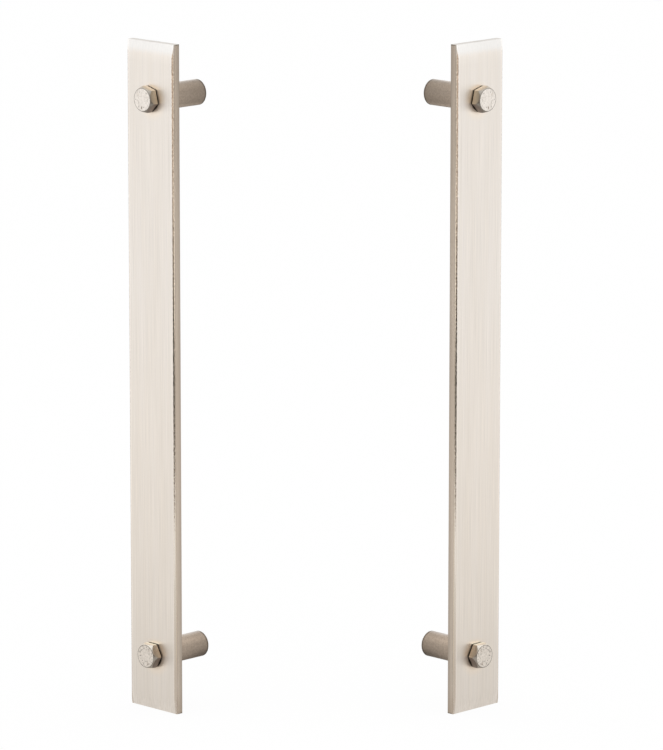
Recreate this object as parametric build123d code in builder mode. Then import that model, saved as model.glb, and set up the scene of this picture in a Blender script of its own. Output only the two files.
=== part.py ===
from build123d import *
from math import cos, radians, sin, sqrt, tan
import os

# A double door handle: two like flat-bar pulls, one for each leaf of a double door.
# Each pull is a flat bar held off its leaf by two turned posts, with a hexagon head
# bolt through the bar's face into each post.
# The pulls are mirror images about the plane x = 0, with +Z up along the bars.

# The pair: each leaf is turned by leaf_angle from the front, 0 on a closed double door
leaf_angle = 45.0
pair_spacing = 220.0

# Flat bar
bar_length = 457.2
bar_width = 44.45
bar_thickness = 6.35
front_edge_radius = 1.6
back_edge_radius = 0.5
end_roll_length = 13.0
end_roll_drop = 1.2
fixing_inset = 38.1
hole_clearance = 0.8

# Turned post
post_diameter = 17.46
post_length = 38.1
post_rim_chamfer = 0.6
post_web = 9.5
tap_mouth_chamfer = 0.5
thread_clearance = 0.1

# Hexagon head bolt
thread_diameter = 11.11
bolt_end_gap = 1.6
head_across_flats = 15.875
head_height = 6.9
head_top_inset = 0.1
head_chamfer_angle = 63.0
washer_face_inset = 0.9
washer_face_height = 0.6
upper_bolt_turn = 44.5
lower_bolt_turn = -1.0

# Fits: the tapped holes leave a web in the middle of a post, and the bolts stop short of their ends
fixing_height = bar_length / 2 - fixing_inset
bore_radius = (thread_diameter + thread_clearance) / 2
tap_depth = (post_length - post_web) / 2
bolt_length = bar_thickness + tap_depth - bolt_end_gap

# The pair's depth runs from the bars' near edges to the posts' far rims, with its middle at y = 0
leaf_turn = radians(leaf_angle)
near_corner = (bar_width / 2 - front_edge_radius) * sin(leaf_turn) - front_edge_radius * cos(leaf_turn)
near_reach = near_corner + front_edge_radius
far_face = (bar_thickness + post_length) * cos(leaf_turn)
far_reach = far_face + (post_diameter / 2 - post_rim_chamfer) * sin(leaf_turn)
face_y = (near_reach - far_reach) / 2


def front_face(side):
    """The plane of a bar's front face: x across the bar, y up along it, z out of the face."""
    turn = side * leaf_turn
    return Plane(
        origin=(side * pair_spacing / 2, face_y, 0),
        x_dir=(cos(turn), sin(turn), 0),
        z_dir=(sin(turn), -cos(turn), 0),
    )


def make_bar(face):
    """The flat bar: an eased section drawn to length, rolled off at its ends, then drilled."""
    lower_end = face.from_local_coords((0, -bar_length / 2, 0))
    section = Plane(lower_end, x_dir=face.x_dir, z_dir=face.y_dir)
    long_edge = face.from_local_coords((bar_width / 2, 0, 0))
    side_view = Plane(long_edge, x_dir=face.z_dir, z_dir=-face.x_dir)
    with BuildPart() as bar:
        with BuildSketch(section) as outline:
            Rectangle(bar_width, bar_thickness, align=(Align.CENTER, Align.MIN))
            fillet(outline.vertices().group_by(Axis.Y)[0], front_edge_radius)
            fillet(outline.vertices().group_by(Axis.Y)[-1], back_edge_radius)
        extrude(amount=bar_length)
        with BuildSketch(side_view):
            with BuildLine():
                roll_start = (0, bar_length / 2 - end_roll_length)
                roll_end = (-end_roll_drop, bar_length / 2)
                TangentArc(roll_start, roll_end, tangent=(0, 1))
                Polyline(roll_end, (0, bar_length / 2), roll_start)
            make_face()
            mirror(about=Plane.XZ)
        extrude(amount=bar_width, mode=Mode.SUBTRACT)
        with BuildSketch(face):
            with GridLocations(0, 2 * fixing_height, 1, 2):
                Circle((thread_diameter + hole_clearance) / 2)
        extrude(amount=-bar_thickness, mode=Mode.SUBTRACT)
    return bar


def make_post(face, height):
    """A stand-off post, turned in one piece, with a tapped blind hole in each end."""
    seat = face.from_local_coords((0, height, -bar_thickness))
    half_section = Plane(seat, x_dir=face.x_dir, z_dir=face.y_dir)
    rim = post_diameter / 2
    with BuildPart() as post:
        with BuildSketch(half_section):
            with BuildLine():
                Polyline(
                    (0, tap_depth),
                    (bore_radius, tap_depth),
                    (bore_radius, 0),
                    (rim - post_rim_chamfer, 0),
                    (rim, post_rim_chamfer),
                    (rim, post_length - post_rim_chamfer),
                    (rim - post_rim_chamfer, post_length),
                    (bore_radius + tap_mouth_chamfer, post_length),
                    (bore_radius, post_length - tap_mouth_chamfer),
                    (bore_radius, post_length - tap_depth),
                    (0, post_length - tap_depth),
                    close=True,
                )
            make_face()
        revolve(axis=Axis(seat, face.z_dir))
    return post


def make_bolt(face, height, turn):
    """A hexagon head bolt: chamfered head on a washer face, with a plain shank for its thread."""
    seat = Plane(face.from_local_coords((0, height, 0)), x_dir=face.x_dir, z_dir=face.z_dir)
    half_section = Plane(seat.origin, x_dir=face.x_dir, z_dir=-face.y_dir)
    corner = head_across_flats / sqrt(3)
    top = head_across_flats / 2 - head_top_inset
    corner_drop = (corner - top) * tan(radians(head_chamfer_angle))
    washer_face = head_across_flats / 2 - washer_face_inset
    shank = thread_diameter / 2
    with BuildPart() as bolt:
        with BuildSketch(seat.offset(washer_face_height)):
            RegularPolygon(head_across_flats / 2, 6, major_radius=False, rotation=turn)
        extrude(amount=head_height - washer_face_height)
        with BuildSketch(half_section):
            with BuildLine():
                Polyline(
                    (0, washer_face_height),
                    (corner, washer_face_height),
                    (corner, head_height - corner_drop),
                    (top, head_height),
                    (0, head_height),
                    close=True,
                )
            make_face()
        revolve(axis=Axis(seat.origin, seat.z_dir), mode=Mode.INTERSECT)
        with BuildSketch(half_section):
            with BuildLine():
                Polyline(
                    (0, washer_face_height),
                    (washer_face, washer_face_height),
                    (washer_face, 0),
                    (shank, 0),
                    (shank, -bolt_length),
                    (0, -bolt_length),
                    close=True,
                )
            make_face()
        revolve(axis=Axis(seat.origin, seat.z_dir))
    return bolt


def save(piece, name):
    """Label a finished piece and write its file."""
    piece.part.label = name
    export_step(piece.part, f"parts/{name}.step")


os.makedirs("parts", exist_ok=True)
for hand, side in (("left", -1), ("right", 1)):
    face = front_face(side)
    save(make_bar(face), f"{hand}_bar")
    for level, height, turn in (
        ("upper", fixing_height, upper_bolt_turn),
        ("lower", -fixing_height, lower_bolt_turn),
    ):
        save(make_post(face, height), f"{hand}_{level}_post")
        save(make_bolt(face, height, -side * turn), f"{hand}_{level}_bolt")
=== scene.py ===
from math import cos, pi, radians, sin

import bmesh
import bpy
from mathutils import Matrix, Vector


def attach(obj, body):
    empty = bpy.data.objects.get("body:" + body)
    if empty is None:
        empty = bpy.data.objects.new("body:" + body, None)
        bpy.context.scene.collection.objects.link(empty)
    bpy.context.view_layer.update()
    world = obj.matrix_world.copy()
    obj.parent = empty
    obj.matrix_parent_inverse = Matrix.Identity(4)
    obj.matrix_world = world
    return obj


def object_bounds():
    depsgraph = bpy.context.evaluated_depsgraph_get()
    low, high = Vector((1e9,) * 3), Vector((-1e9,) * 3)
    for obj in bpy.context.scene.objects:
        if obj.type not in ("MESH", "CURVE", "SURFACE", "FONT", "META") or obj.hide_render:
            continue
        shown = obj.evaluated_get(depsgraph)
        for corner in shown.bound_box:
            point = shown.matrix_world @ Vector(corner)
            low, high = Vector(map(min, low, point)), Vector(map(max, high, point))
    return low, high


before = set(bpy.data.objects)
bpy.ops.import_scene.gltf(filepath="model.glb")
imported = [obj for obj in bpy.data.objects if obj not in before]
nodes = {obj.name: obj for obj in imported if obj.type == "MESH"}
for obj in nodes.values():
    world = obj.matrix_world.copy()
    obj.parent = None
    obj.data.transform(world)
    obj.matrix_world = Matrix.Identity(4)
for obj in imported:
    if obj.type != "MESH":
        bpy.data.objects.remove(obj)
cad_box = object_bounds()


# Bars: two flat bars of steel, sawn to length, brushed along it and plated in satin nickel.
# The long front edges are eased on a belt, and hands have nicked and worn all but their lowest part.
# The front faces are rolled off at both ends; the top roll is painted whiter as a painted highlight, and a
# painted shadow and a painted warm reflection lie round the bolt heads.
bar_length = 0.4572
half_length = bar_length / 2
bar_width = 0.04445
half_width = bar_width / 2
bar_thickness = 0.00635
front_edge_radius = 0.0016
front_face_centre = Vector((0.110, -0.01106, 0))
leaf_turn = radians(45)
fixing_height = 0.1905

nickel = (0.891, 0.835, 0.777, 1)
nickel_warm = (0.865, 0.804, 0.735, 1)
painted_highlight_nickel = (0.893, 0.873, 0.847, 1)
sawn_nickel = (0.690, 0.655, 0.610, 1)
painted_reflection_nickel = (0.950, 0.822, 0.685, 1)
painted_shadow_nickel = (0.420, 0.310, 0.200, 1)
painted_gap_shadow = (0.030, 0.022, 0.014, 1)
eased_nickel = (0.775, 0.708, 0.628, 1)
eased_nickel_foot = (0.650, 0.568, 0.488, 1)
worn_nickel = (0.950, 0.878, 0.790, 1)
worn_nickel_dark = (0.520, 0.465, 0.400, 1)

# Brushed faces: the lines are weaker near the top, and drag the painted highlight of the top roll out a
# little; a thin painted highlight runs along the face beside each eased edge
brush_line_width = 0.0007
brush_line_length = 0.060
brush_line_shade = 0.102
brush_line_fade = (0.010, 0.060)
brush_line_strength = (0.45, 0.90)
brushed_level = 0.978
satin_grain_size = 0.0006
satin_grain_shades = (0.985, 1.015)
grain_range = (0.3, 0.7)
roll_fade = (0.0100, 0.0050)
roll_fade_drag = 0.0018
lit_line_width = 0.0010
lit_line_depth = (-0.0006, -0.0002)
lit_line_gain = 1.06

# Sides, back edges and sawn ends; the sides carry painted shade, lighter at the front and darker towards the
# back, with painted dark lines along the back edges and the sides' ends
side_start = (-0.00256, -0.00176)
side_painted_shades = (1.11, 0.84)
back_edge_width = 0.0009
back_edge_lap = 0.0004
back_edge_shade = 0.72
end_edge_width = 0.0009
end_edge_shade = 0.50
sawn_facing = (0.6, 0.9)

# Painted warm reflection, painted shadow and painted dark gap round a bolt head, from a middle below and
# inside its axis: colour, reach, strength, soft or not
bolt_shading_across = -0.0022
bolt_shading_up = -0.0012
bolt_shading = (
    (painted_reflection_nickel, (0.0080, 0.0148), 0.60, True),
    (painted_shadow_nickel, (0.0065, 0.0100), 0.45, True),
    (painted_gap_shadow, (0.0060, 0.0068), 0.88, False),
)

# Eased front edges
eased_full = 0.0012
nick_width = 0.0006
nick_length = 0.0016
nick_range = (0.35, 0.65)
wear_fade = (-0.11, -0.06)
foot_fade = (-0.20, -0.15)
foot_roll_fade = (0.0100, 0.0050)
foot_roll_strip = (0.0007, 0.0004)

brushed_roughness = (0.30, 0.40)
eased_roughness = (0.07, 0.16)
brushed_stretch = 0.7
brushed_relief = 0.5
nick_relief = (0.3, 7.0)
bar_relief_strength = 0.25
plated_relief_depth = 0.00008


def place_node(tree, kind, inputs=None, **settings):
    """Place a node in a tree; an input is a value, or the output socket that feeds it."""
    node = tree.nodes.new(kind)
    for name, value in settings.items():
        setattr(node, name, value)
    for name, value in (inputs or {}).items():
        if isinstance(value, bpy.types.NodeSocket):
            tree.links.new(value, node.inputs[name])
        else:
            node.inputs[name].default_value = value
    return node


def calculate(tree, operation, *values):
    """One step of arithmetic on values that change over a surface."""
    return place_node(tree, "ShaderNodeMath", dict(enumerate(values)), operation=operation).outputs[0]


def multiply(tree, product, *others):
    """The product of masks or shades."""
    for other in others:
        product = calculate(tree, "MULTIPLY", product, other)
    return product


def spread(tree, value, low, high, to_low, to_high, smooth=False):
    """Carry a value's range over to another range."""
    node = place_node(tree, "ShaderNodeMapRange", {0: value, 1: low, 2: high, 3: to_low, 4: to_high})
    node.interpolation_type = "SMOOTHSTEP" if smooth else "LINEAR"
    return node.outputs[0]


def blend_values(tree, share, first, second):
    """Go from the first value to the second as the share goes from 0 to 1."""
    return place_node(tree, "ShaderNodeMix", {0: share, 2: first, 3: second}).outputs[0]


def blend_colours(tree, share, first, second):
    """Go from the first colour to the second as the share goes from 0 to 1."""
    return place_node(tree, "ShaderNodeMix", {0: share, 6: first, 7: second}, data_type="RGBA").outputs[2]


def shade_colour(tree, colour, shade):
    """A colour made darker or lighter by a shade that changes over the surface."""
    node = place_node(tree, "ShaderNodeVectorMath", {0: colour, "Scale": shade}, operation="SCALE")
    return node.outputs[0]


def split_place(tree, place):
    """The three parts of a place or a direction."""
    return place_node(tree, "ShaderNodeSeparateXYZ", {0: place}).outputs


def measure_distance(tree, across, along):
    """The distance that two offsets at right angles make."""
    offset = place_node(tree, "ShaderNodeCombineXYZ", {0: across, 1: along}).outputs[0]
    return place_node(tree, "ShaderNodeVectorMath", {0: offset}, operation="LENGTH").outputs["Value"]


def measure_in(tree, place, sizes):
    """A place counted in a pattern's own sizes across, out and up."""
    scale = [1 / size for size in sizes]
    return place_node(tree, "ShaderNodeMapping", {"Vector": place, "Scale": scale}).outputs[0]


def find_facing_up(tree):
    """How far a surface faces up: 1 straight up, -1 straight down."""
    return split_place(tree, place_node(tree, "ShaderNodeNewGeometry").outputs["Normal"])[2]


def new_group(name, inputs, outputs):
    """An empty shader node group with its named sockets, and its two end nodes."""
    group = bpy.data.node_groups.new(name, "ShaderNodeTree")
    for direction, sockets in (("INPUT", inputs), ("OUTPUT", outputs)):
        for socket, kind in sockets.items():
            group.interface.new_socket(socket, in_out=direction, socket_type="NodeSocket" + kind)
    return group, group.nodes.new("NodeGroupInput"), group.nodes.new("NodeGroupOutput")


def place_group(tree, group, inputs=None):
    """Place a shader node group in a material."""
    return place_node(tree, "ShaderNodeGroup", inputs, node_tree=group)


def make_pull_place():
    """Where a point lies on its own pull: across the bar, out of its front face, and up along it,
    with its distance from the axis of the nearer fixing.
    The pulls are mirror images, so the distance from the middle plane serves both of them."""
    group, _, out = new_group("Place on a pull", {}, {"Place": "Vector", "From axis": "Float"})
    x, y, up = split_place(group, place_node(group, "ShaderNodeTexCoord").outputs["Object"])
    sideways = calculate(group, "SUBTRACT", calculate(group, "ABSOLUTE", x), front_face_centre.x)
    inward = calculate(group, "SUBTRACT", y, front_face_centre.y)
    across = calculate(group, "ADD", multiply(group, sideways, cos(leaf_turn)),
                       multiply(group, inward, sin(leaf_turn)))
    proud = calculate(group, "SUBTRACT", multiply(group, sideways, sin(leaf_turn)),
                      multiply(group, inward, cos(leaf_turn)))
    place = place_node(group, "ShaderNodeCombineXYZ", {0: across, 1: proud, 2: up})
    group.links.new(place.outputs[0], out.inputs["Place"])
    along = calculate(group, "SUBTRACT", calculate(group, "ABSOLUTE", up), fixing_height)
    group.links.new(measure_distance(group, across, along), out.inputs["From axis"])
    return group


def make_grain():
    """An even grain: Fineness is the number of grains in each unit of Place."""
    group, given, out = new_group(
        "Metal grain",
        {"Place": "Vector", "Fineness": "Float", "Detail": "Float", "Harshness": "Float"},
        {"Grain": "Float"},
    )
    noise = place_node(group, "ShaderNodeTexNoise", {
        "Vector": given.outputs["Place"],
        "Scale": given.outputs["Fineness"],
        "Detail": given.outputs["Detail"],
        "Roughness": given.outputs["Harshness"],
    })
    group.links.new(noise.outputs["Fac"], out.inputs["Grain"])
    return group


def make_brushing():
    """Brushed lines: Place is in line widths across the lines and in line lengths along them (Z)."""
    line_range = (0.25, 0.75)
    band_spread = (0.12, 0.12, 0.4)
    group, given, out = new_group("Brushed lines", {"Place": "Vector"},
                                  {"Lines": "Float", "Bands": "Float"})
    fine = place_node(group, "ShaderNodeTexNoise",
                      {"Vector": given.outputs["Place"], "Scale": 1.0, "Detail": 3.0, "Roughness": 0.6})
    wide_place = place_node(group, "ShaderNodeVectorMath",
                            {0: given.outputs["Place"], 1: band_spread}, operation="MULTIPLY")
    wide = place_node(group, "ShaderNodeTexNoise",
                      {"Vector": wide_place.outputs[0], "Scale": 1.0, "Detail": 2.0, "Roughness": 0.5})
    group.links.new(spread(group, fine.outputs["Fac"], *line_range, 0, 1), out.inputs["Lines"])
    group.links.new(spread(group, wide.outputs["Fac"], *grain_range, 0, 1), out.inputs["Bands"])
    return group


def add_grain(tree, place, size, detail, harshness):
    """Grain of one size over a material."""
    node = place_group(tree, metal_grain, {
        "Place": place, "Fineness": 1 / size, "Detail": detail, "Harshness": harshness,
    })
    return node.outputs["Grain"]


def new_metal(name):
    """A bare metal material, its tree and its shader."""
    material = bpy.data.materials.new(name)
    material.use_nodes = True
    shader = material.node_tree.nodes["Principled BSDF"]
    shader.inputs["Metallic"].default_value = 1
    return material, material.node_tree, shader


def raise_surface(tree, shader, height, strength, depth):
    """Give a material a fine relief."""
    relief = place_node(tree, "ShaderNodeBump", {"Height": height, "Strength": strength, "Distance": depth})
    tree.links.new(relief.outputs[0], shader.inputs["Normal"])


def finish_node(name, material):
    """Give a CAD piece its finish."""
    for slot in nodes[name].material_slots:
        slot.material = material


pull_place = make_pull_place()
metal_grain = make_grain()
brushing = make_brushing()

bar_finish, tree, shader = new_metal("satin_nickel_bar")
place = place_group(tree, pull_place).outputs["Place"]
across, proud, up = split_place(tree, place)
from_middle = calculate(tree, "ABSOLUTE", across)
from_top = calculate(tree, "SUBTRACT", half_length, up)
from_end = calculate(tree, "SUBTRACT", half_length, calculate(tree, "ABSOLUTE", up))
on_side = spread(tree, proud, *side_start, 1, 0)
on_front = calculate(tree, "SUBTRACT", 1, on_side)

line_sizes = (brush_line_width, brush_line_width, brush_line_length)
brushed = place_group(tree, brushing, {"Place": measure_in(tree, place, line_sizes)})
lines = brushed.outputs["Lines"]
face_tone = blend_colours(tree, brushed.outputs["Bands"], nickel_warm, nickel)
# Painted highlight: the top roll of the front face, and of its eased edges, is painted whiter
dragged = calculate(tree, "MULTIPLY_ADD", lines, roll_fade_drag, from_top)
top_highlight_share = multiply(tree, spread(tree, dragged, *roll_fade, 0, 1, smooth=True), on_front)
tone = blend_colours(tree, top_highlight_share, face_tone, painted_highlight_nickel)
line_shade = spread(tree, lines, 0, 1, -brush_line_shade, brush_line_shade)
line_depth = spread(tree, from_top, *brush_line_fade, *brush_line_strength)
lines_shade = calculate(tree, "MULTIPLY_ADD", line_shade, line_depth, brushed_level)
satin_grain = add_grain(tree, place, satin_grain_size, detail=1.0, harshness=0.5)
grain_shade = spread(tree, satin_grain, *grain_range, *satin_grain_shades)
flat_edge = half_width - front_edge_radius
# Painted highlight: a thin light line on the face beside each eased edge
lit_line = multiply(
    tree,
    spread(tree, from_middle, flat_edge - lit_line_width, flat_edge - 0.5 * lit_line_width, 0, 1),
    spread(tree, proud, *lit_line_depth, 0, 1),
)
face_shade = multiply(tree, lines_shade, grain_shade, spread(tree, lit_line, 0, 1, 1.0, lit_line_gain))

# Painted shade: dark lines along the back edges and the sides' ends, and sides darker towards the back
back_edge = multiply(
    tree,
    spread(tree, from_middle, half_width - back_edge_lap, half_width, 0, 1),
    spread(tree, proud, back_edge_width - bar_thickness, -bar_thickness, 0, 1),
)
end_edge = multiply(tree, on_side, spread(tree, from_end, end_edge_width, 0.5 * end_edge_width, 0, 1))
side_painted_fall = spread(tree, proud, -front_edge_radius, -bar_thickness, *side_painted_shades)
edge_shade = multiply(
    tree,
    spread(tree, back_edge, 0, 1, 1.0, back_edge_shade),
    blend_values(tree, on_side, 1.0, side_painted_fall),
    spread(tree, end_edge, 0, 1, 1.0, end_edge_shade),
)

# Painted shadow, painted warm reflection and painted dark gap round each bolt head, on the front only
bolt_level = calculate(tree, "MULTIPLY_ADD", calculate(tree, "SIGN", up), fixing_height, bolt_shading_up)
from_bolt = measure_distance(tree, calculate(tree, "SUBTRACT", across, bolt_shading_across),
                             calculate(tree, "SUBTRACT", up, bolt_level))
from_bolt_in_front = calculate(tree, "ADD", from_bolt, on_side)
plated_tone = shade_colour(tree, tone, multiply(tree, face_shade, edge_shade))
for colour, reach, strength, soft in bolt_shading:
    near_bolt = spread(tree, from_bolt_in_front, *reach, strength, 0, smooth=soft)
    plated_tone = blend_colours(tree, near_bolt, plated_tone, colour)
sawn = spread(tree, calculate(tree, "ABSOLUTE", find_facing_up(tree)), *sawn_facing, 0, 1)
flat_tone = blend_colours(tree, sawn, plated_tone, sawn_nickel)

eased = multiply(
    tree,
    spread(tree, from_middle, flat_edge, half_width - eased_full, 0, 1),
    spread(tree, proud, -front_edge_radius, -eased_full, 0, 1),
)
nick_place = measure_in(tree, place, (nick_width, nick_width, nick_length))
nicks = add_grain(tree, nick_place, 1.0, detail=2.0, harshness=0.6)
nicked_tone = blend_colours(tree, spread(tree, nicks, *nick_range, 0, 1), worn_nickel_dark, worn_nickel)
worn = spread(tree, up, *wear_fade, 0, 1)
above_foot = spread(tree, up, *foot_fade, 0, 1)
eased_tone = blend_colours(tree, above_foot, eased_nickel_foot, eased_nickel)
worn_tone = blend_colours(tree, worn, eased_tone, nicked_tone)
strip_start, strip_full = foot_roll_strip
on_foot_roll = multiply(
    tree,
    spread(tree, calculate(tree, "ADD", up, half_length), *foot_roll_fade, 0, 1),
    spread(tree, from_middle, half_width - strip_start, half_width - strip_full, 0, 1),
)
edge_tone = blend_colours(tree, top_highlight_share, worn_tone, painted_highlight_nickel)
edge_tone = blend_colours(tree, on_foot_roll, edge_tone, nickel_warm)
tree.links.new(blend_colours(tree, eased, flat_tone, edge_tone), shader.inputs["Base Color"])

face_roughness = spread(tree, lines, 0, 1, *brushed_roughness)
edge_roughness = spread(tree, nicks, *grain_range, *eased_roughness)
polished = multiply(tree, eased, calculate(tree, "SUBTRACT", 1, on_foot_roll))
tree.links.new(blend_values(tree, polished, face_roughness, edge_roughness), shader.inputs["Roughness"])
nick_height = multiply(tree, nicks, eased, spread(tree, worn, 0, 1, *nick_relief))
height = calculate(tree, "MULTIPLY_ADD", lines, brushed_relief, nick_height)
raise_surface(tree, shader, height, bar_relief_strength, plated_relief_depth)
shader.inputs["Anisotropic"].default_value = brushed_stretch
across_lines = place_node(tree, "ShaderNodeTangent", direction_type="RADIAL", axis="Z")
tree.links.new(across_lines.outputs[0], shader.inputs["Tangent"])

for hand in ("left", "right"):
    finish_node(f"{hand}_bar", bar_finish)


# Posts: four round stand-offs turned from steel rod, plated in satin nickel as the bars are.
# Each is tapped at both ends, in front for its bolt and behind for the screw through the door leaf.
post_length = 0.0381
post_radius = 0.00873
post_rim_chamfer = 0.0006
post_rear_face = -bar_thickness - post_length
bore_radius = 0.005605
tap_depth = 0.0143
tap_mouth_chamfer = 0.0005
thread_pitch = 0.0254 / 14
thread_crest_radius = 0.00475
thread_foot_sink = 0.00002
thread_foot_share = 0.44
thread_crest_share = 0.08
thread_steps = 40

turned_nickel = (0.724, 0.662, 0.602, 1)
turned_nickel_dull = (0.561, 0.507, 0.456, 1)
rim_painted_shade_nickel = (0.215, 0.187, 0.160, 1)
rim_width = 0.0026
rim_full = 0.00048
turning_line_width = 0.00045
turning_line_length = 0.25
post_grain_size = 0.0012

# Painted light and shade on the posts: darker towards the rear end, lighter on the upper posts, and lighter
# or darker by how far the surface faces up
post_fall_start = -0.010
post_painted_fall = (0.78, 1.14)
level_switch = (-0.01, 0.01)
upper_post_painted_light = 1.07
post_facing_painted_light = (
    ((0.35, 0.75), (1.0, 1.13)),
    ((-0.6, 0), (0.92, 1.0)),
    ((-0.95, -0.55), (1.30, 1.0)),
)
turned_roughness = (0.48, 0.38)
turning_relief = 0.6
post_grain_relief = 0.5
post_relief_strength = 0.2


def pull_frame(side):
    """The axes of a pull's front face: across the bar, up along it, and out of the face."""
    turn = side * leaf_turn
    across = Vector((cos(turn), sin(turn), 0))
    out = Vector((sin(turn), -cos(turn), 0))
    middle = Vector((side * front_face_centre.x, front_face_centre.y, 0))
    return Matrix.Translation(middle) @ Matrix((across, (0, 0, 1), out)).transposed().to_4x4()


def add_piece(name, mesh_builder, frame_of_piece, material):
    """Turn finished mesh data into a piece that rides on the pulls."""
    mesh = bpy.data.meshes.new(name)
    mesh_builder.transform(frame_of_piece)
    bmesh.ops.recalc_face_normals(mesh_builder, faces=mesh_builder.faces)
    mesh_builder.to_mesh(mesh)
    mesh_builder.free()
    mesh.materials.append(material)
    piece = bpy.data.objects.new(name, mesh)
    bpy.context.scene.collection.objects.link(piece)
    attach(piece, "root")


def cut_thread():
    """The thread of a tapped hole: one ridge wound up the bore, with its mouth at the origin."""
    ridge = bmesh.new()
    foot_radius = bore_radius + thread_foot_sink
    profile = (
        (foot_radius, -thread_foot_share),
        (thread_crest_radius, -thread_crest_share),
        (thread_crest_radius, thread_crest_share),
        (foot_radius, thread_foot_share),
    )
    first_depth = tap_mouth_chamfer + 0.5 * thread_pitch
    turns = (tap_depth - first_depth - 0.5 * thread_pitch) / thread_pitch
    count = int(turns * thread_steps)
    rings = []
    for step in range(count + 1):
        angle = 2 * pi * step / thread_steps
        depth = first_depth + thread_pitch * step / thread_steps
        rings.append([
            ridge.verts.new((radius * cos(angle), radius * sin(angle), depth + share * thread_pitch))
            for radius, share in profile
        ])
    for ring, following in zip(rings, rings[1:]):
        for corner in range(len(profile)):
            after = (corner + 1) % len(profile)
            ridge.faces.new((ring[corner], ring[after], following[after], following[corner]))
    ridge.faces.new(rings[0])
    ridge.faces.new(rings[-1])
    return ridge


post_finish, tree, shader = new_metal("satin_nickel_post")
on_pull = place_group(tree, pull_place)
place = on_pull.outputs["Place"]
_, proud, up = split_place(tree, place)
line_sizes = (turning_line_length, turning_line_width, turning_line_length)
turned = place_group(tree, brushing, {"Place": measure_in(tree, place, line_sizes)})
post_grain = add_grain(tree, place, post_grain_size, detail=3.0, harshness=0.6)
grain_share = spread(tree, post_grain, *grain_range, 0, 1)
turned_tone = blend_colours(tree, grain_share, turned_nickel_dull, turned_nickel)
post_painted_light = multiply(tree, spread(tree, proud, post_rear_face, post_fall_start, *post_painted_fall),
                      spread(tree, up, *level_switch, 1.0, upper_post_painted_light))
facing_up = find_facing_up(tree)
for facing, shades in post_facing_painted_light:
    post_painted_light = multiply(tree, post_painted_light, spread(tree, facing_up, *facing, *shades))
shaded_tone = shade_colour(tree, turned_tone, post_painted_light)
# Painted shade: a dark ring on the chamfer at each post's rear end
painted_rim_shade = multiply(
    tree,
    spread(tree, proud, post_rear_face + rim_width, post_rear_face + post_rim_chamfer, 0, 1, smooth=True),
    spread(tree, on_pull.outputs["From axis"],
           post_radius - post_rim_chamfer, post_radius - rim_full, 0, 1),
)
tree.links.new(blend_colours(tree, painted_rim_shade, shaded_tone, rim_painted_shade_nickel), shader.inputs["Base Color"])
tree.links.new(spread(tree, post_grain, *grain_range, *turned_roughness), shader.inputs["Roughness"])
height = calculate(tree, "MULTIPLY_ADD", turned.outputs["Lines"], turning_relief,
                   multiply(tree, post_grain, post_grain_relief))
raise_surface(tree, shader, height, post_relief_strength, plated_relief_depth)

for hand, side in (("left", -1), ("right", 1)):
    for level, end in (("upper", 1), ("lower", -1)):
        finish_node(f"{hand}_{level}_post", post_finish)
        rear_face = Matrix.Translation((0, end * fixing_height, post_rear_face))
        add_piece(f"{hand}_{level}_thread", cut_thread(), pull_frame(side) @ rear_face, post_finish)


# Bolts: four hexagon head bolts of cold-forged stainless steel, one into each post.
# The forging die leaves three plain ticks standing on the head and a fine mottle on its top.
# The lower heads are more pitted, and their flanks and chamfers are painted lighter.
head_height = 0.0069
head_top_radius = 0.00784
head_chamfer_slope = 1.963
washer_face_height = 0.0006
tick_count = 3
tick_length = 0.0021
tick_width = 0.0007
tick_height = 0.00030
tick_middle = 0.0054
tick_crown = (0.88, 0.70, 1)
tick_crest_ease = 0.00006
tick_first_angles = {"upper": radians(38), "lower": radians(8)}

stainless = (0.950, 0.888, 0.820, 1)
stainless_dull = (0.660, 0.608, 0.552, 1)
pit_shade = (0.190, 0.170, 0.148, 1)
rim_painted_shade_stainless = (0.200, 0.182, 0.160, 1)
flank_painted_lit = {"upper": (0.740, 0.645, 0.520, 1), "lower": (0.950, 0.850, 0.710, 1)}
flank_painted_half_shade = {"upper": (0.470, 0.415, 0.330, 1), "lower": (0.520, 0.470, 0.390, 1)}
flank_painted_shade = (0.230, 0.200, 0.190, 1)
chamfer_painted_shade = {"upper": (0.250, 0.228, 0.202, 1), "lower": (0.400, 0.366, 0.325, 1)}
chamfer_painted_light = {"upper": (0.620, 0.575, 0.512, 1), "lower": (0.930, 0.880, 0.800, 1)}
gap_shade = (0.012, 0.008, 0.004, 1)

# Head top: the mottle, pits that keep away from its middle, and a painted shade ring at its rim
forging_mottle = 0.0011
drag_line_width = 0.0005
drag_line_depth = 1 / 60
pit_spacing = 0.0014
pit_lean = {"upper": -0.01, "lower": 0.035}
pit_range = (0.57, 0.67)
pit_strength = 0.75
pit_free_middle = (0.0025, 0.0048)
pit_share_in_middle = 0.15
top_depth = (0.00002, 0.00010)
top_rim = (0.00040, 0.00025)

# Painted light and shade on the chamfer and flanks, by their depth below the top and by how far they face up
chamfer_edge = (0.00006, 0.00020)
shoulder_depth = (0.0006, 0.0014)
shoulder_strength = 0.9
chamfer_lit_facing = (0.35, 0.85)
lower_flank_facing = (-0.5, 0.1)
upper_flank_facing = (0.5, 0.95)
flank_depth = (0.0014, 0.0058)
flank_painted_bands = (0.80, 1.22)
gap_above_washer_face = (0.0001, 0.0003)
forged_roughness = (0.40, 0.24)
drag_relief = 0.2
bolt_relief_strength = 0.25
bolt_relief_depth = 0.0001


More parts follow.
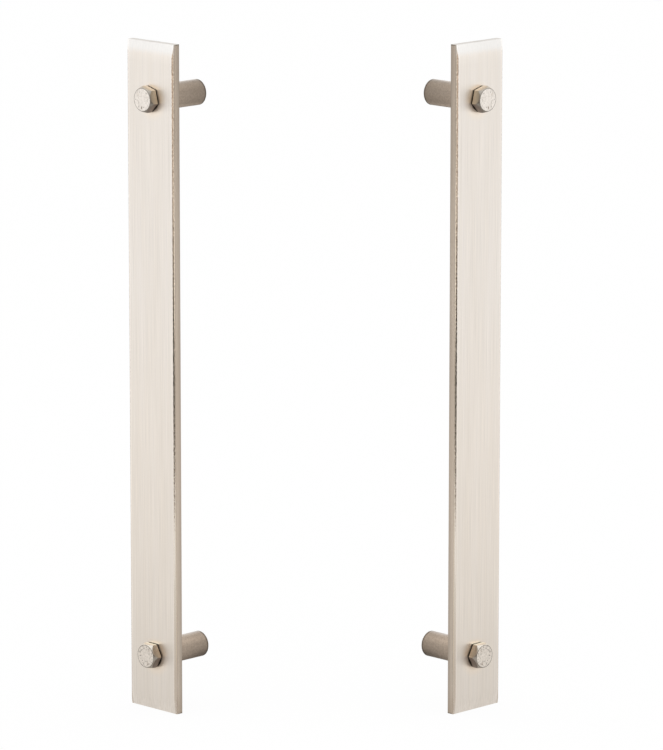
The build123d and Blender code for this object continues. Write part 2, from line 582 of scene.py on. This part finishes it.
def stamp_ticks(first_angle):
    """Plain ticks on a bolt head, each a low bar with eased sides, about the origin."""
    ticks = bmesh.new()
    for turn in range(tick_count):
        angle = first_angle + turn * 2 * pi / tick_count
        bar = bmesh.ops.create_cube(ticks, size=1)["verts"]
        bmesh.ops.scale(ticks, verts=bar, vec=(tick_length, tick_width, 2 * tick_height))
        crown = [corner for corner in bar if corner.co.z > 0]
        bmesh.ops.scale(ticks, verts=crown, vec=tick_crown)
        bmesh.ops.translate(ticks, verts=bar, vec=(tick_middle, 0, 0))
        bmesh.ops.rotate(ticks, verts=bar, cent=(0, 0, 0), matrix=Matrix.Rotation(angle, 3, "Z"))
    crests = [edge for edge in ticks.edges if all(end.co.z > 0 for end in edge.verts)]
    bmesh.ops.bevel(ticks, geom=crests, offset=tick_crest_ease, segments=2, affect="EDGES")
    return ticks


def choose_by_level(tree, on_upper, colours):
    """The colour that a bolt has at its level."""
    return blend_colours(tree, on_upper, colours["lower"], colours["upper"])


bolt_finish, tree, shader = new_metal("forged_stainless_bolt")
on_pull = place_group(tree, pull_place)
place = on_pull.outputs["Place"]
_, proud, up = split_place(tree, place)
radius = on_pull.outputs["From axis"]
on_upper_bolt = spread(tree, up, *level_switch, 0, 1)
below_top = calculate(tree, "SUBTRACT", head_height, proud)
facing_up = find_facing_up(tree)

mottle = add_grain(tree, place, forging_mottle, detail=4.0, harshness=0.65)
pits = add_grain(tree, place, pit_spacing, detail=2.0, harshness=0.6)
leaning = spread(tree, on_upper_bolt, 0, 1, pit_lean["lower"], pit_lean["upper"])
pitting = calculate(tree, "ADD", pits, leaning)
in_pit = multiply(tree, spread(tree, pitting, *pit_range, 0, pit_strength),
                  spread(tree, radius, *pit_free_middle, pit_share_in_middle, 1))
mottled_tone = blend_colours(tree, spread(tree, mottle, *grain_range, 0, 1), stainless_dull, stainless)
forged_tone = blend_colours(tree, in_pit, mottled_tone, pit_shade)
# Painted shade: a thin dark ring round the edge of the head top
rim_start, rim_end = top_rim
painted_rim_shade = spread(tree, radius, head_top_radius - rim_start, head_top_radius - rim_end, 0, 1)
top_tone = blend_colours(tree, painted_rim_shade, forged_tone, rim_painted_shade_stainless)

# Painted light and shade: flanks and chamfers lighter as they face up and darker as they face down, lighter
# on the lower bolts, darker near the top of the flank
faces_middle = spread(tree, facing_up, *lower_flank_facing, 0, 1)
faces_up = spread(tree, facing_up, *upper_flank_facing, 0, 1)
middle_tone = choose_by_level(tree, on_upper_bolt, flank_painted_half_shade)
upper_tone = choose_by_level(tree, on_upper_bolt, flank_painted_lit)
side_flank = blend_colours(tree, faces_middle, flank_painted_shade, middle_tone)
flank_tone = blend_colours(tree, faces_up, side_flank, upper_tone)
banded_flank = shade_colour(tree, flank_tone, spread(tree, below_top, *flank_depth, *flank_painted_bands))
chamfer_shaded_tone = choose_by_level(tree, on_upper_bolt, chamfer_painted_shade)
chamfer_lit = choose_by_level(tree, on_upper_bolt, chamfer_painted_light)
chamfer_share = spread(tree, facing_up, *chamfer_lit_facing, 0, 1)
chamfer_tone = blend_colours(tree, chamfer_share, chamfer_shaded_tone, chamfer_lit)
past_top = calculate(tree, "SUBTRACT", radius, head_top_radius)
below_chamfer = calculate(tree, "SUBTRACT", below_top, multiply(tree, past_top, head_chamfer_slope))
on_chamfer = calculate(tree, "MAXIMUM", spread(tree, below_chamfer, *chamfer_edge, 1, 0),
                       spread(tree, below_top, *shoulder_depth, shoulder_strength, 0))
side_tone = blend_colours(tree, on_chamfer, banded_flank, chamfer_tone)

head_tone = blend_colours(tree, spread(tree, below_top, *top_depth, 1, 0), side_tone, top_tone)
gap_full, gap_end = gap_above_washer_face
in_gap = spread(tree, proud, washer_face_height + gap_full, washer_face_height + gap_end, 1, 0)
tree.links.new(blend_colours(tree, in_gap, head_tone, gap_shade), shader.inputs["Base Color"])
tree.links.new(spread(tree, mottle, *grain_range, *forged_roughness), shader.inputs["Roughness"])
drag_sizes = (drag_line_width, drag_line_depth, drag_line_width)
drag = place_group(tree, brushing, {"Place": measure_in(tree, place, drag_sizes)})
height = calculate(tree, "MULTIPLY_ADD", drag.outputs["Lines"], drag_relief, mottle)
raise_surface(tree, shader, height, bolt_relief_strength, bolt_relief_depth)

for hand, side in (("left", -1), ("right", 1)):
    for level, end in (("upper", 1), ("lower", -1)):
        finish_node(f"{hand}_{level}_bolt", bolt_finish)
        head_top = Matrix.Translation((0, end * fixing_height, head_height))
        mirrored = Matrix.Scale(side, 4, (1, 0, 0))
        add_piece(f"{hand}_{level}_ticks", stamp_ticks(tick_first_angles[level]),
                  pull_frame(side) @ head_top @ mirrored, bolt_finish)


# Studio: the pulls stand on a white floor that runs out to a white room, lit by three softboxes.
# Painted cards that only the metal sees stand between the pulls and in front of them, and lie
# round their feet, to give the nickel its shades. A card's shades are pairs of a place and a shade.
floor_level = cad_box[0].z
floor_size = 24.0
floor_white = (0.96, 0.96, 0.96, 1)
shadow_share = 0.06
white = (1, 1, 1, 1)
warm_tint = (1.0, 0.88, 0.76)
strip_tint = (1.0, 0.95, 0.87)
front_tint = (1.0, 0.80, 0.66)
ground_tint = (1.0, 0.975, 0.94)

strip_shades = (
    (-0.2286, 0.80), (-0.09, 0.80), (-0.065, 0.50), (-0.02, 0.46), (0.01, 0.90), (0.03, 1.15),
    (0.11, 1.15), (0.16, 0.80), (0.4, 0.80),
)
divider_shades = (
    (-0.2286, 0.44), (-0.12, 0.50), (-0.09, 0.53), (-0.05, 0.57), (0.0, 0.53), (0.04, 0.46),
    (0.09, 0.425), (0.20, 0.39), (0.35, 0.37),
)
middle_shades = (
    (-0.2286, 0.44), (-0.19, 0.50), (-0.11, 0.78), (-0.05, 0.74), (0.02, 0.32), (0.15, 0.39),
    (0.25, 0.46), (0.35, 0.48),
)
rear_shades = (
    (-0.2286, 0.20), (-0.05, 0.20), (0.01, 0.85), (0.20, 0.95), (0.30, 0.70), (0.42, 0.36),
    (0.80, 0.30),
)
front_shades = (
    (-0.2286, 0.50), (-0.19, 0.14), (-0.15, 0.04), (-0.11, 0.02), (-0.085, 0.04), (-0.06, 0.15),
    (-0.03, 0.27), (0.0, 0.34), (0.035, 0.60), (0.10, 0.70), (0.25, 0.70),
)
ground_shades = ((0.08, 0.766), (0.30, 0.836), (0.60, 0.922), (1.2, 1.0))
foot_shades = ((0.0, 0.46), (0.0945, 0.46))
heel_shades = ((0.0, 0.13), (0.0945, 0.13))


def add_card(name, corners, shades, tint, axis):
    """A flat painted card that only the metal sees, shaded along one of its directions."""
    mesh = bpy.data.meshes.new(name)
    mesh.from_pydata(corners, [], [(0, 1, 2, 3)])
    card = bpy.data.objects.new(name, mesh)
    bpy.context.scene.collection.objects.link(card)
    paint = bpy.data.materials.new(name)
    paint.use_nodes = True
    tree = paint.node_tree
    tree.nodes.clear()
    x, _, up = split_place(tree, place_node(tree, "ShaderNodeTexCoord").outputs["Object"])
    along = calculate(tree, "ABSOLUTE", x) if axis == "X" else up
    first, last = shades[0][0], shades[-1][0]
    ramp = place_node(tree, "ShaderNodeValToRGB", {0: spread(tree, along, first, last, 0, 1)})
    stops = ramp.color_ramp.elements
    while len(stops) < len(shades):
        stops.new(1.0)
    for stop, (where, shade) in zip(stops, shades):
        stop.position = (where - first) / (last - first)
        stop.color = (*(shade * part for part in tint), 1)
    glow = place_node(tree, "ShaderNodeEmission", {"Color": ramp.outputs[0]})
    place_node(tree, "ShaderNodeOutputMaterial", {"Surface": glow.outputs[0]})
    mesh.materials.append(paint)
    card.visible_camera = False
    card.visible_diffuse = False
    card.visible_shadow = False


def stand_card(name, first, second, top, shades, tint):
    """A card that stands on the floor over a line from one point to another."""
    corners = [(*first, floor_level), (*second, floor_level), (*second, top), (*first, top)]
    add_card(name, corners, shades, tint, "Z")


def lay_card(name, reach, near, far, thickness, shades, tint):
    """A card that lies on the floor, as far to the left as to the right."""
    level = floor_level + thickness
    corners = [(-reach, near, level), (reach, near, level), (reach, far, level), (-reach, far, level)]
    add_card(name, corners, shades, tint, "X")


def add_softbox(name, place, aim, width, height, brightness):
    """A softbox lamp of even brightness, turned towards a point."""
    lamp = bpy.data.lights.new(name, "AREA")
    lamp.shape = "RECTANGLE"
    lamp.size = width
    lamp.size_y = height
    lamp.energy = brightness * pi * width * height
    softbox = bpy.data.objects.new(name, lamp)
    bpy.context.scene.collection.objects.link(softbox)
    softbox.location = place
    softbox.rotation_euler = (Vector(aim) - Vector(place)).to_track_quat("-Z", "Y").to_euler()


floor_mesh = bpy.data.meshes.new("floor")
half_floor = floor_size / 2
floor_corners = [(-half_floor, -half_floor), (half_floor, -half_floor),
                 (half_floor, half_floor), (-half_floor, half_floor)]
floor_mesh.from_pydata([(*corner, floor_level) for corner in floor_corners], [], [(0, 1, 2, 3)])
floor = bpy.data.objects.new("floor", floor_mesh)
bpy.context.scene.collection.objects.link(floor)
floor_paint = bpy.data.materials.new("white_floor")
floor_paint.use_nodes = True
tree = floor_paint.node_tree
tree.nodes.clear()
bright = place_node(tree, "ShaderNodeEmission", {"Color": white, "Strength": 1.0})
matt = place_node(tree, "ShaderNodeBsdfDiffuse", {"Color": floor_white})
seen = place_node(tree, "ShaderNodeMixShader", {0: shadow_share, 1: bright.outputs[0], 2: matt.outputs[0]})
rays = place_node(tree, "ShaderNodeLightPath")
mirrored_rays = calculate(tree, "MAXIMUM", rays.outputs["Is Glossy Ray"], rays.outputs["Is Transmission Ray"])
seen_rays = calculate(tree, "MAXIMUM", rays.outputs["Is Camera Ray"], mirrored_rays)
lit = place_node(tree, "ShaderNodeMixShader", {0: seen_rays, 1: matt.outputs[0], 2: seen.outputs[0]})
below = place_node(tree, "ShaderNodeNewGeometry").outputs["Backfacing"]
clear = place_node(tree, "ShaderNodeBsdfTransparent")
surface = place_node(tree, "ShaderNodeMixShader", {0: below, 1: lit.outputs[0], 2: clear.outputs[0]})
place_node(tree, "ShaderNodeOutputMaterial", {"Surface": surface.outputs[0]})
floor_mesh.materials.append(floor_paint)

stand_card("divider_card", first=(0, -0.06), second=(0, 0.005), top=0.8,
           shades=divider_shades, tint=warm_tint)
stand_card("middle_card", first=(0, 0.005), second=(0, 0.20), top=0.8,
           shades=middle_shades, tint=warm_tint)
stand_card("rear_card", first=(0, 0.20), second=(0, 1.6), top=0.8,
           shades=rear_shades, tint=warm_tint)
stand_card("strip_card", first=(0, -0.15), second=(0, -0.06), top=0.4,
           shades=strip_shades, tint=strip_tint)
stand_card("front_card", first=(-0.40, -0.62), second=(0.40, -0.62), top=0.25,
           shades=front_shades, tint=front_tint)
lay_card("ground_card", reach=1.2, near=-0.4, far=0.9, thickness=0.0001,
         shades=ground_shades, tint=ground_tint)
lay_card("foot_card", reach=0.0945, near=-0.045, far=0.02, thickness=0.0002,
         shades=foot_shades, tint=warm_tint)
lay_card("heel_card", reach=0.0945, near=0.02, far=0.9, thickness=0.0002,
         shades=heel_shades, tint=warm_tint)
for side in (-1, 1):
    add_softbox(f"softbox_{side}", place=(side * 1.7, -0.2, 0.75), aim=(0, 0, 0.1),
                width=1.2, height=1.5, brightness=0.15)
add_softbox("softbox_above", place=(0, -0.3, 2.2), aim=(0, 0, 0), width=1.6, height=1.6, brightness=0.08)

world = bpy.data.worlds.new("white_studio")
world.use_nodes = True
room = world.node_tree.nodes["Background"]
room.inputs["Color"].default_value = white
room.inputs["Strength"].default_value = 1.0
bpy.context.scene.world = world
bpy.context.scene.view_settings.view_transform = "Standard"


# Camera: a long lens well in front of the pulls and a little above them, looking down on them.
# The frame is shifted a little, because the pair stands left of the picture's middle.
camera_place = (0, -3.6346, 0.7317)
camera_dip = radians(11.37)
sensor_width = 36
lens = 264
pair_left_of_middle = 0.022
camera_data = bpy.data.cameras.new("camera")
camera_data.sensor_width = sensor_width
camera_data.lens = lens
camera_data.shift_x = pair_left_of_middle
camera = bpy.data.objects.new("camera", camera_data)
camera.location = camera_place
camera.rotation_euler = (pi / 2 - camera_dip, 0, 0)
bpy.context.scene.collection.objects.link(camera)
bpy.context.scene.camera = camera
